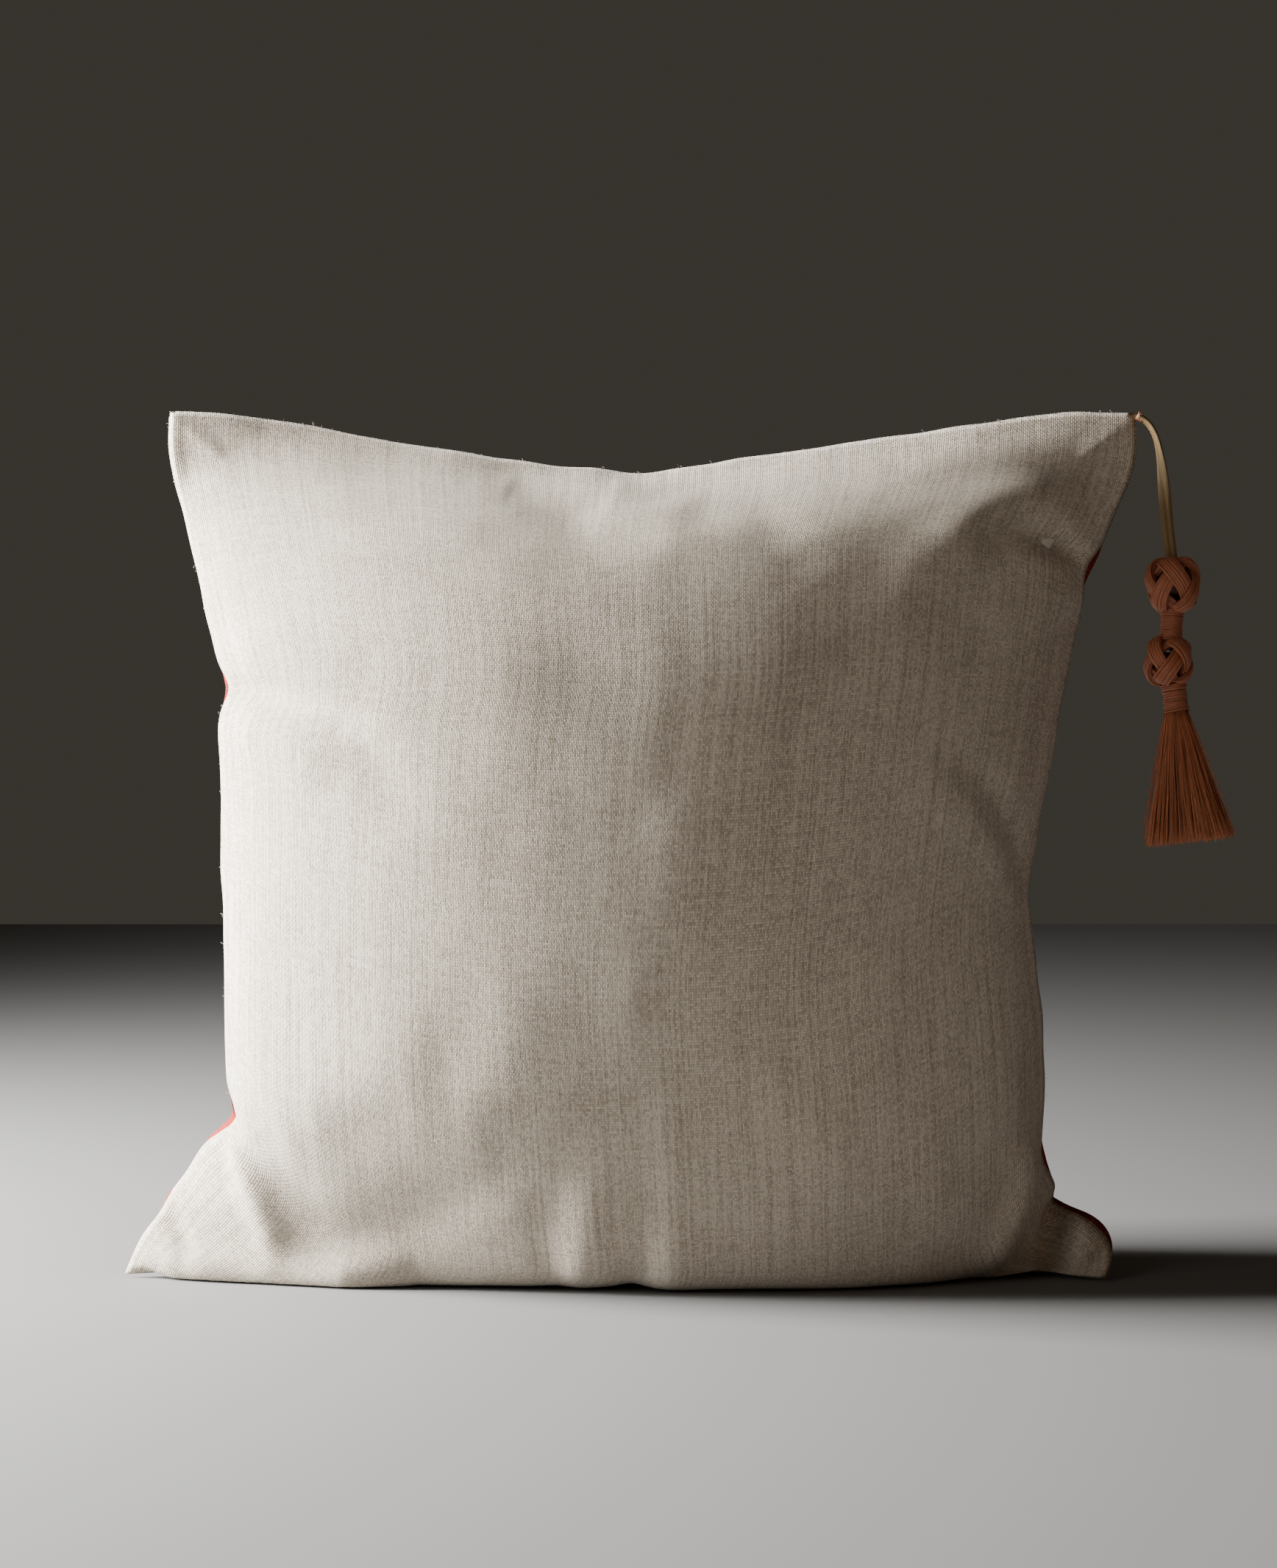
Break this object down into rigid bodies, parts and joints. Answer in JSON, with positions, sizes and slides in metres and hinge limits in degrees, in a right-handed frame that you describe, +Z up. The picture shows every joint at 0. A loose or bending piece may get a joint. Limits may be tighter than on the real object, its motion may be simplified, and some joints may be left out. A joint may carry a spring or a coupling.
{
  "type": "scatter cushion",
  "caption": "Square stuffed cushion standing on its base seam, with a removable cover, a concealed zip and a knotted tassel hanging on a cord from one top corner.",
  "frame": {"origin": "on the surface the cushion stands on, under the middle of the cushion", "axes": "+X along the zip towards the tassel's corner, -Y out of the linen face, +Z up"},
  "size_m": [0.5015, 0.156, 0.394],
  "materials": {
    "linen": "natural plain-weave linen with slubs",
    "red_cloth": "dyed red linen",
    "calico": "plain cotton",
    "down": "loose filling",
    "zip_tape": "woven tape",
    "zip_teeth": "nylon",
    "zip_metal": "satin lacquer",
    "cord": "silky doubled cord",
    "silk": "shiny twisted silk",
    "bead": "plain turned wood"
  },
  "bodies": {
    "cushion": {"linen_panel": "linen", "red_panel": "red_cloth", "pad_case_front": "calico", "pad_case_back": "calico", "pad_filling": "down", "zip_tape_front": "zip_tape", "zip_tape_back": "zip_tape", "zip_teeth_front": "zip_teeth", "zip_teeth_back": "zip_teeth", "zip_top_stops": "zip_metal", "zip_bottom_stop": "zip_metal", "cord_tail": "cord"},
    "zip_slider": {"zip_slider": "zip_metal"},
    "pull_tab": {"zip_pull_tab": "zip_metal"},
    "cord": {"hanging_cord": "cord", "cord_whipping": "silk"},
    "tassel": {"upper_knot": "silk", "upper_bead": "bead", "neck_binding": "silk", "lower_knot": "silk", "lower_bead": "bead", "skirt_binding": "silk", "skirt": "silk"}
  },
  "joints": [
    {"name": "zip_slide", "type": "slide", "parent": "cushion", "child": "zip_slider", "axis": [-1, 0, 0], "range_m": [0, 0.32]},
    {"name": "tab_hinge", "type": "hinge", "parent": "zip_slider", "child": "pull_tab", "pos_m": [0.165, 0, 0.006], "axis": [0, -1, 0], "range_deg": [0, 150]},
    {"name": "cord_swing", "type": "hinge", "parent": "cushion", "child": "cord", "pos_m": [0.23, 0, 0.391], "axis": [1, 0, 0], "range_deg": [-80, 80]},
    {"name": "tassel_swing", "type": "hinge", "parent": "cord", "child": "tassel", "pos_m": [0.2454, 0, 0.3268], "axis": [0, -1, 0], "range_deg": [-12, 55]}
  ]
}
